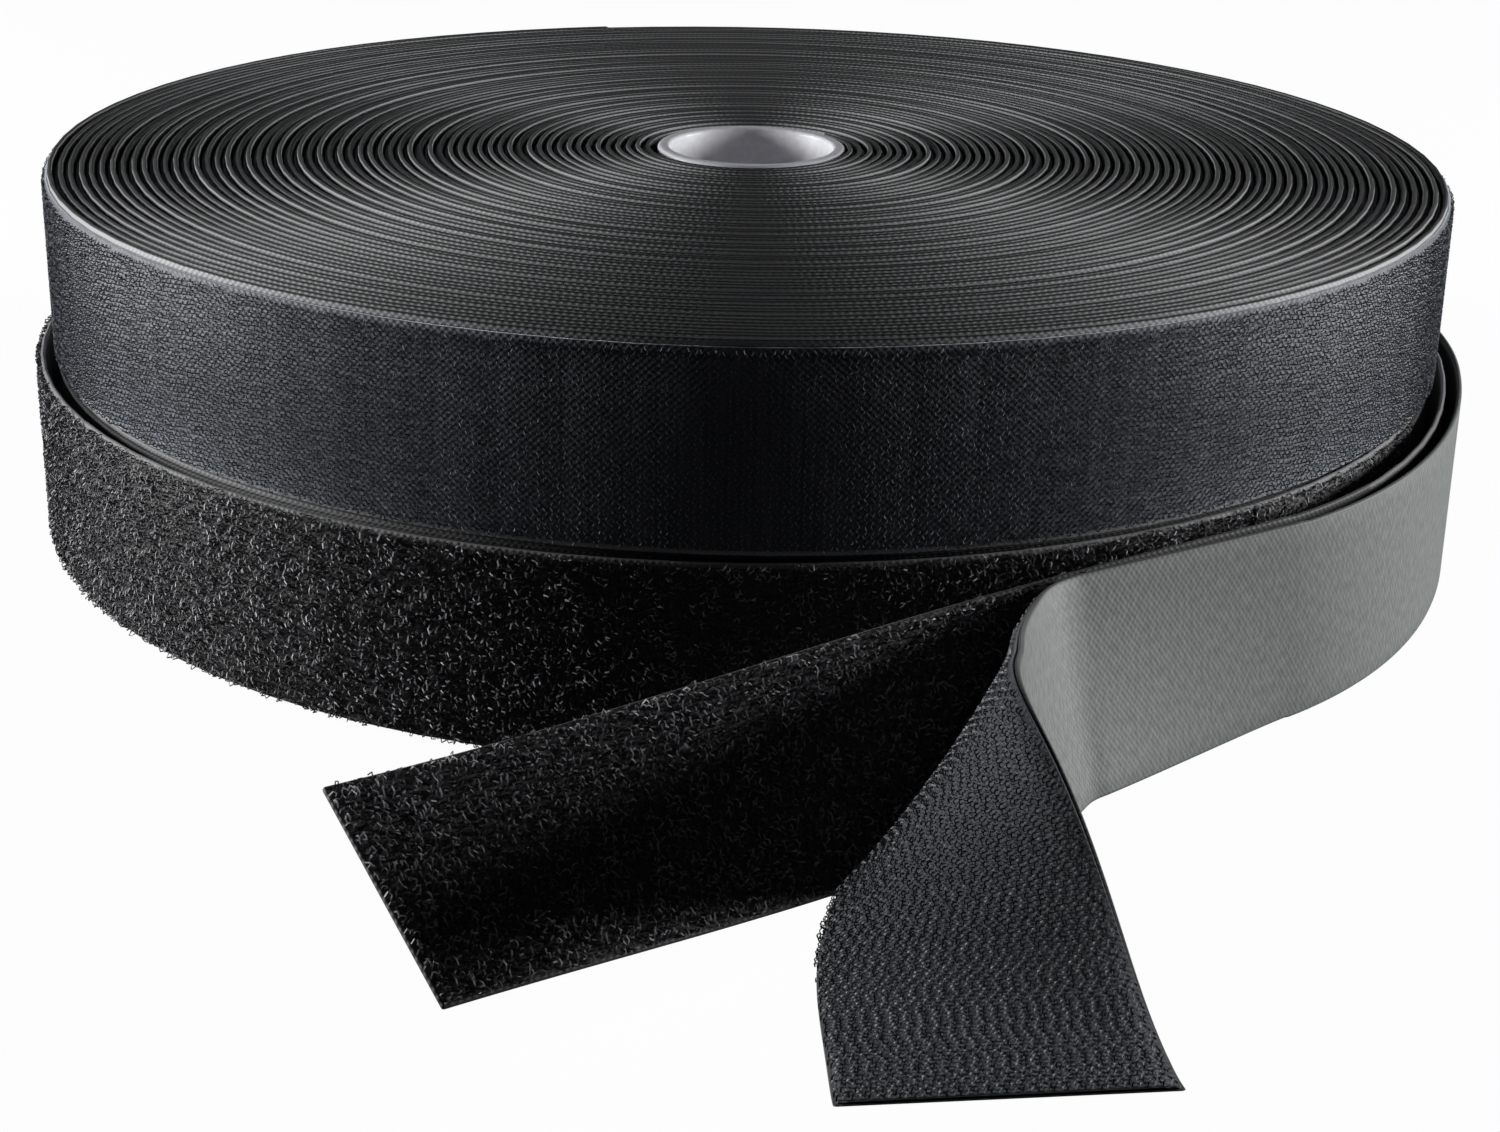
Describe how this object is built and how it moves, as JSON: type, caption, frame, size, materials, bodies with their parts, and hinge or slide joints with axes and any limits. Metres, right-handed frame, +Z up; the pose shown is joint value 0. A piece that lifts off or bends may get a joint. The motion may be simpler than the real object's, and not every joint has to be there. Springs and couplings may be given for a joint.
{
  "type": "hook and loop tape roll set",
  "caption": "Stacked rolls of sew-on hook tape and loop tape on tubular cores, with a strip of hook tape pressed on the loop tape's free end and peeled off as a flap.",
  "frame": {"origin": "On the floor, under the middle of the whole footprint, strips included", "axes": "+Z is up along the rolls' axes, -Y is the front where the strips lie, +X is to the right seen from the front"},
  "size_m": [0.239, 0.3702, 0.0603],
  "materials": {
    "hook_tape": "charcoal woven nylon with rows of small stiff hooks, dull sheen",
    "hook_back": "smooth grey-green woven back with fine ribs along the tape",
    "loop_tape": "black brushed nylon pile of fine curly loops on a woven back",
    "core_tube": "pale grey-white smooth tube with plain cut ends"
  },
  "bodies": {
    "loop_roll": {"loop_core": "core_tube", "loop_inner_turns": "loop_tape", "loop_outer_turns": "loop_tape", "hook_strip_wrap": "hook_back"},
    "hook_core": {"hook_core": "core_tube"},
    "hook_winding": {"hook_inner_turns": "hook_tape", "hook_outer_turns": "hook_tape"},
    "loop_end": {"loop_free_end": "loop_tape", "hook_strip_lead": "hook_back"},
    "hook_flap": {"hook_flap": "hook_tape"}
  },
  "joints": [
    {"name": "hook_roll_lift", "type": "slide", "parent": "loop_roll", "child": "hook_core", "axis": [0, 0, 1], "range_m": [0, 0.08]},
    {"name": "hook_roll_spin", "type": "hinge", "parent": "hook_core", "child": "hook_winding", "pos_m": [-0.00034, 0.06559, 0.0453], "axis": [0, 0, 1], "continuous": true},
    {"name": "loop_end_swing", "type": "hinge", "parent": "loop_roll", "child": "loop_end", "pos_m": [0.07731, -0.03113, 0.01515], "axis": [0, 0, 1], "range_deg": [0, 30]},
    {"name": "flap_peel", "type": "hinge", "parent": "loop_end", "child": "hook_flap", "pos_m": [0.04616, -0.05622, 0.01587], "axis": [-0.1724, 0.2129, 0.9617], "range_deg": [0, 75]}
  ]
}
